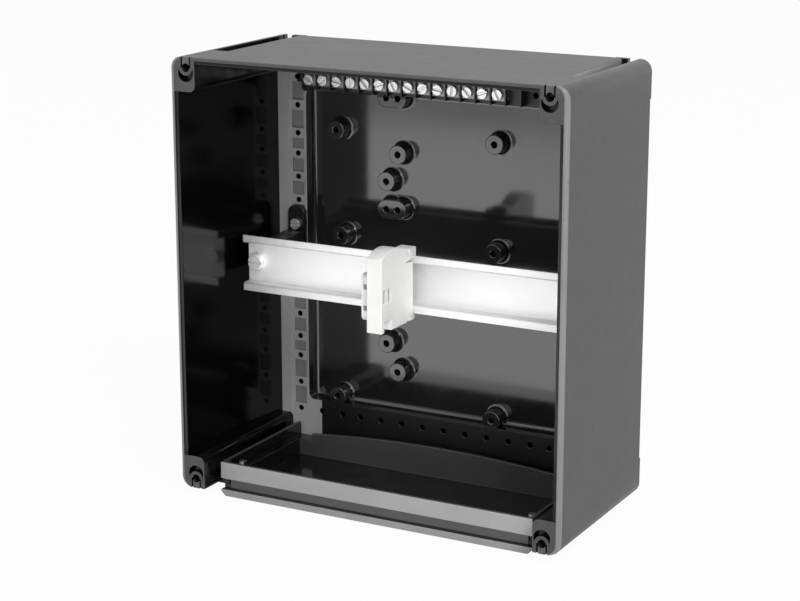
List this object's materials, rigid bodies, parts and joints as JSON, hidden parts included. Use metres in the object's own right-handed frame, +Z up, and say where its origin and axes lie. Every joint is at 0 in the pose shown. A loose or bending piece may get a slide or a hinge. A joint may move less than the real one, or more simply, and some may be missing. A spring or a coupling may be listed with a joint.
{
  "type": "terminal box",
  "caption": "Open moulded terminal box with a hat rail, a rail terminal and its end bracket, a row of earth clamps and a slide-in cable flange.",
  "frame": {"origin": "under the middle of the box, on the plane of the flange's underside", "axes": "+Z up, -Y out of the open front, +X to the right of someone facing the open front"},
  "size_m": [0.255, 0.12, 0.2725],
  "materials": {
    "box_plastic": "satin moulded plastic, dark grey",
    "gasket_rubber": "matt",
    "rail_steel": "bright zinc plate",
    "plated_steel": "zinc plate",
    "bar_brass": "drawn",
    "carrier_plastic": "fine moulded",
    "terminal_plastic": "fine moulded, light grey"
  },
  "bodies": {
    "box": {"enclosure": "box_plastic", "flange_tray": "box_plastic", "flange_gasket": "gasket_rubber", "din_rail": "rail_steel", "rail_bracket_left": "box_plastic", "rail_bracket_right": "box_plastic", "bracket_screws": "plated_steel", "rail_screws": "plated_steel", "rail_washers": "plated_steel", "earth_carrier": "carrier_plastic", "earth_bar": "bar_brass"},
    "terminal": {"terminal_housing": "terminal_plastic", "terminal_cover": "terminal_plastic", "current_bar": "bar_brass"},
    "end_stop": {"end_bracket": "terminal_plastic"},
    "clamp_cage_upper": {"clamp_cage_upper": "plated_steel"},
    "clamp_cage_lower": {"clamp_cage_lower": "plated_steel"},
    "clamp_screw_upper": {"clamp_screw_upper": "plated_steel"},
    "clamp_screw_lower": {"clamp_screw_lower": "plated_steel"},
    "earth_saddle_01": {"earth_saddle_01": "plated_steel"},
    "earth_screw_01": {"earth_screw_01": "plated_steel"},
    "earth_saddle_02": {"earth_saddle_02": "plated_steel"},
    "earth_screw_02": {"earth_screw_02": "plated_steel"},
    "earth_saddle_03": {"earth_saddle_03": "plated_steel"},
    "earth_screw_03": {"earth_screw_03": "plated_steel"},
    "earth_saddle_04": {"earth_saddle_04": "plated_steel"},
    "earth_screw_04": {"earth_screw_04": "plated_steel"},
    "earth_saddle_05": {"earth_saddle_05": "plated_steel"},
    "earth_screw_05": {"earth_screw_05": "plated_steel"},
    "earth_saddle_06": {"earth_saddle_06": "plated_steel"},
    "earth_screw_06": {"earth_screw_06": "plated_steel"},
    "earth_saddle_07": {"earth_saddle_07": "plated_steel"},
    "earth_screw_07": {"earth_screw_07": "plated_steel"},
    "earth_saddle_08": {"earth_saddle_08": "plated_steel"},
    "earth_screw_08": {"earth_screw_08": "plated_steel"},
    "earth_saddle_09": {"earth_saddle_09": "plated_steel"},
    "earth_screw_09": {"earth_screw_09": "plated_steel"},
    "earth_saddle_10": {"earth_saddle_10": "plated_steel"},
    "earth_screw_10": {"earth_screw_10": "plated_steel"},
    "earth_saddle_11": {"earth_saddle_11": "plated_steel"},
    "earth_screw_11": {"earth_screw_11": "plated_steel"},
    "earth_saddle_12": {"earth_saddle_12": "plated_steel"},
    "earth_screw_12": {"earth_screw_12": "plated_steel"},
    "earth_saddle_13": {"earth_saddle_13": "plated_steel"},
    "earth_screw_13": {"earth_screw_13": "plated_steel"},
    "earth_saddle_14": {"earth_saddle_14": "plated_steel"},
    "earth_screw_14": {"earth_screw_14": "plated_steel"}
  },
  "joints": [
    {"name": "block_slide", "type": "slide", "parent": "box", "child": "terminal", "axis": [1, 0, 0], "range_m": [-0.09, 0]},
    {"name": "bracket_slide", "type": "slide", "parent": "box", "child": "end_stop", "axis": [1, 0, 0], "range_m": [0, 0.09]},
    {"name": "clamp_cage_upper_lift", "type": "slide", "parent": "terminal", "child": "clamp_cage_upper", "axis": [0, -1, 0], "range_m": [0, 0.002]},
    {"name": "clamp_screw_upper_turn", "type": "hinge", "parent": "terminal", "child": "clamp_screw_upper", "pos_m": [-0.00445, -0.04, 0.1444], "axis": [0, 1, 0], "range_deg": [0, 1803]},
    {"name": "clamp_cage_lower_lift", "type": "slide", "parent": "terminal", "child": "clamp_cage_lower", "axis": [0, -1, 0], "range_m": [0, 0.002]},
    {"name": "clamp_screw_lower_turn", "type": "hinge", "parent": "terminal", "child": "clamp_screw_lower", "pos_m": [-0.00445, -0.04, 0.1316], "axis": [0, 1, 0], "range_deg": [0, 1803]},
    {"name": "earth_saddle_01_lift", "type": "slide", "parent": "box", "child": "earth_saddle_01", "axis": [0, -1, 0], "range_m": [0, 0.0024]},
    {"name": "earth_screw_01_turn", "type": "hinge", "parent": "earth_saddle_01", "child": "earth_screw_01", "pos_m": [-0.0915, 0.038, 0.2483], "axis": [0, -1, 0], "range_deg": [0, 1237.3]},
    {"name": "earth_saddle_02_lift", "type": "slide", "parent": "box", "child": "earth_saddle_02", "axis": [0, -1, 0], "range_m": [0, 0.0024]},
    {"name": "earth_screw_02_turn", "type": "hinge", "parent": "earth_saddle_02", "child": "earth_screw_02", "pos_m": [-0.0815, 0.038, 0.2483], "axis": [0, -1, 0], "range_deg": [0, 1237.3]},
    {"name": "earth_saddle_03_lift", "type": "slide", "parent": "box", "child": "earth_saddle_03", "axis": [0, -1, 0], "range_m": [0, 0.0024]},
    {"name": "earth_screw_03_turn", "type": "hinge", "parent": "earth_saddle_03", "child": "earth_screw_03", "pos_m": [-0.0715, 0.038, 0.2483], "axis": [0, -1, 0], "range_deg": [0, 1237.3]},
    {"name": "earth_saddle_04_lift", "type": "slide", "parent": "box", "child": "earth_saddle_04", "axis": [0, -1, 0], "range_m": [0, 0.0024]},
    {"name": "earth_screw_04_turn", "type": "hinge", "parent": "earth_saddle_04", "child": "earth_screw_04", "pos_m": [-0.0615, 0.038, 0.2483], "axis": [0, -1, 0], "range_deg": [0, 1237.3]},
    {"name": "earth_saddle_05_lift", "type": "slide", "parent": "box", "child": "earth_saddle_05", "axis": [0, -1, 0], "range_m": [0, 0.0024]},
    {"name": "earth_screw_05_turn", "type": "hinge", "parent": "earth_saddle_05", "child": "earth_screw_05", "pos_m": [-0.0515, 0.038, 0.2483], "axis": [0, -1, 0], "range_deg": [0, 1237.3]},
    {"name": "earth_saddle_06_lift", "type": "slide", "parent": "box", "child": "earth_saddle_06", "axis": [0, -1, 0], "range_m": [0, 0.0024]},
    {"name": "earth_screw_06_turn", "type": "hinge", "parent": "earth_saddle_06", "child": "earth_screw_06", "pos_m": [-0.0415, 0.038, 0.2483], "axis": [0, -1, 0], "range_deg": [0, 1237.3]},
    {"name": "earth_saddle_07_lift", "type": "slide", "parent": "box", "child": "earth_saddle_07", "axis": [0, -1, 0], "range_m": [0, 0.0024]},
    {"name": "earth_screw_07_turn", "type": "hinge", "parent": "earth_saddle_07", "child": "earth_screw_07", "pos_m": [-0.0315, 0.038, 0.2483], "axis": [0, -1, 0], "range_deg": [0, 1237.3]},
    {"name": "earth_saddle_08_lift", "type": "slide", "parent": "box", "child": "earth_saddle_08", "axis": [0, -1, 0], "range_m": [0, 0.0024]},
    {"name": "earth_screw_08_turn", "type": "hinge", "parent": "earth_saddle_08", "child": "earth_screw_08", "pos_m": [-0.0215, 0.038, 0.2483], "axis": [0, -1, 0], "range_deg": [0, 1237.3]},
    {"name": "earth_saddle_09_lift", "type": "slide", "parent": "box", "child": "earth_saddle_09", "axis": [0, -1, 0], "range_m": [0, 0.0024]},
    {"name": "earth_screw_09_turn", "type": "hinge", "parent": "earth_saddle_09", "child": "earth_screw_09", "pos_m": [-0.0115, 0.038, 0.2483], "axis": [0, -1, 0], "range_deg": [0, 1237.3]},
    {"name": "earth_saddle_10_lift", "type": "slide", "parent": "box", "child": "earth_saddle_10", "axis": [0, -1, 0], "range_m": [0, 0.0024]},
    {"name": "earth_screw_10_turn", "type": "hinge", "parent": "earth_saddle_10", "child": "earth_screw_10", "pos_m": [-0.0015, 0.038, 0.2483], "axis": [0, -1, 0], "range_deg": [0, 1237.3]},
    {"name": "earth_saddle_11_lift", "type": "slide", "parent": "box", "child": "earth_saddle_11", "axis": [0, -1, 0], "range_m": [0, 0.0024]},
    {"name": "earth_screw_11_turn", "type": "hinge", "parent": "earth_saddle_11", "child": "earth_screw_11", "pos_m": [0.0085, 0.038, 0.2483], "axis": [0, -1, 0], "range_deg": [0, 1237.3]},
    {"name": "earth_saddle_12_lift", "type": "slide", "parent": "box", "child": "earth_saddle_12", "axis": [0, -1, 0], "range_m": [0, 0.0024]},
    {"name": "earth_screw_12_turn", "type": "hinge", "parent": "earth_saddle_12", "child": "earth_screw_12", "pos_m": [0.0185, 0.038, 0.2483], "axis": [0, -1, 0], "range_deg": [0, 1237.3]},
    {"name": "earth_saddle_13_lift", "type": "slide", "parent": "box", "child": "earth_saddle_13", "axis": [0, -1, 0], "range_m": [0, 0.0024]},
    {"name": "earth_screw_13_turn", "type": "hinge", "parent": "earth_saddle_13", "child": "earth_screw_13", "pos_m": [0.0285, 0.038, 0.2483], "axis": [0, -1, 0], "range_deg": [0, 1237.3]},
    {"name": "earth_saddle_14_lift", "type": "slide", "parent": "box", "child": "earth_saddle_14", "axis": [0, -1, 0], "range_m": [0, 0.0024]},
    {"name": "earth_screw_14_turn", "type": "hinge", "parent": "earth_saddle_14", "child": "earth_screw_14", "pos_m": [0.0385, 0.038, 0.2483], "axis": [0, -1, 0], "range_deg": [0, 1237.3]}
  ],
  "couplings": [
    {"joint": "clamp_screw_upper_turn", "follows": "clamp_cage_upper_lift", "rad_per_m": 15708},
    {"joint": "clamp_screw_lower_turn", "follows": "clamp_cage_lower_lift", "rad_per_m": 15708},
    {"joint": "earth_screw_01_turn", "follows": "earth_saddle_01_lift", "rad_per_m": 8976},
    {"joint": "earth_screw_02_turn", "follows": "earth_saddle_02_lift", "rad_per_m": 8976},
    {"joint": "earth_screw_03_turn", "follows": "earth_saddle_03_lift", "rad_per_m": 8976},
    {"joint": "earth_screw_04_turn", "follows": "earth_saddle_04_lift", "rad_per_m": 8976},
    {"joint": "earth_screw_05_turn", "follows": "earth_saddle_05_lift", "rad_per_m": 8976},
    {"joint": "earth_screw_06_turn", "follows": "earth_saddle_06_lift", "rad_per_m": 8976},
    {"joint": "earth_screw_07_turn", "follows": "earth_saddle_07_lift", "rad_per_m": 8976},
    {"joint": "earth_screw_08_turn", "follows": "earth_saddle_08_lift", "rad_per_m": 8976},
    {"joint": "earth_screw_09_turn", "follows": "earth_saddle_09_lift", "rad_per_m": 8976},
    {"joint": "earth_screw_10_turn", "follows": "earth_saddle_10_lift", "rad_per_m": 8976},
    {"joint": "earth_screw_11_turn", "follows": "earth_saddle_11_lift", "rad_per_m": 8976},
    {"joint": "earth_screw_12_turn", "follows": "earth_saddle_12_lift", "rad_per_m": 8976},
    {"joint": "earth_screw_13_turn", "follows": "earth_saddle_13_lift", "rad_per_m": 8976},
    {"joint": "earth_screw_14_turn", "follows": "earth_saddle_14_lift", "rad_per_m": 8976}
  ]
}
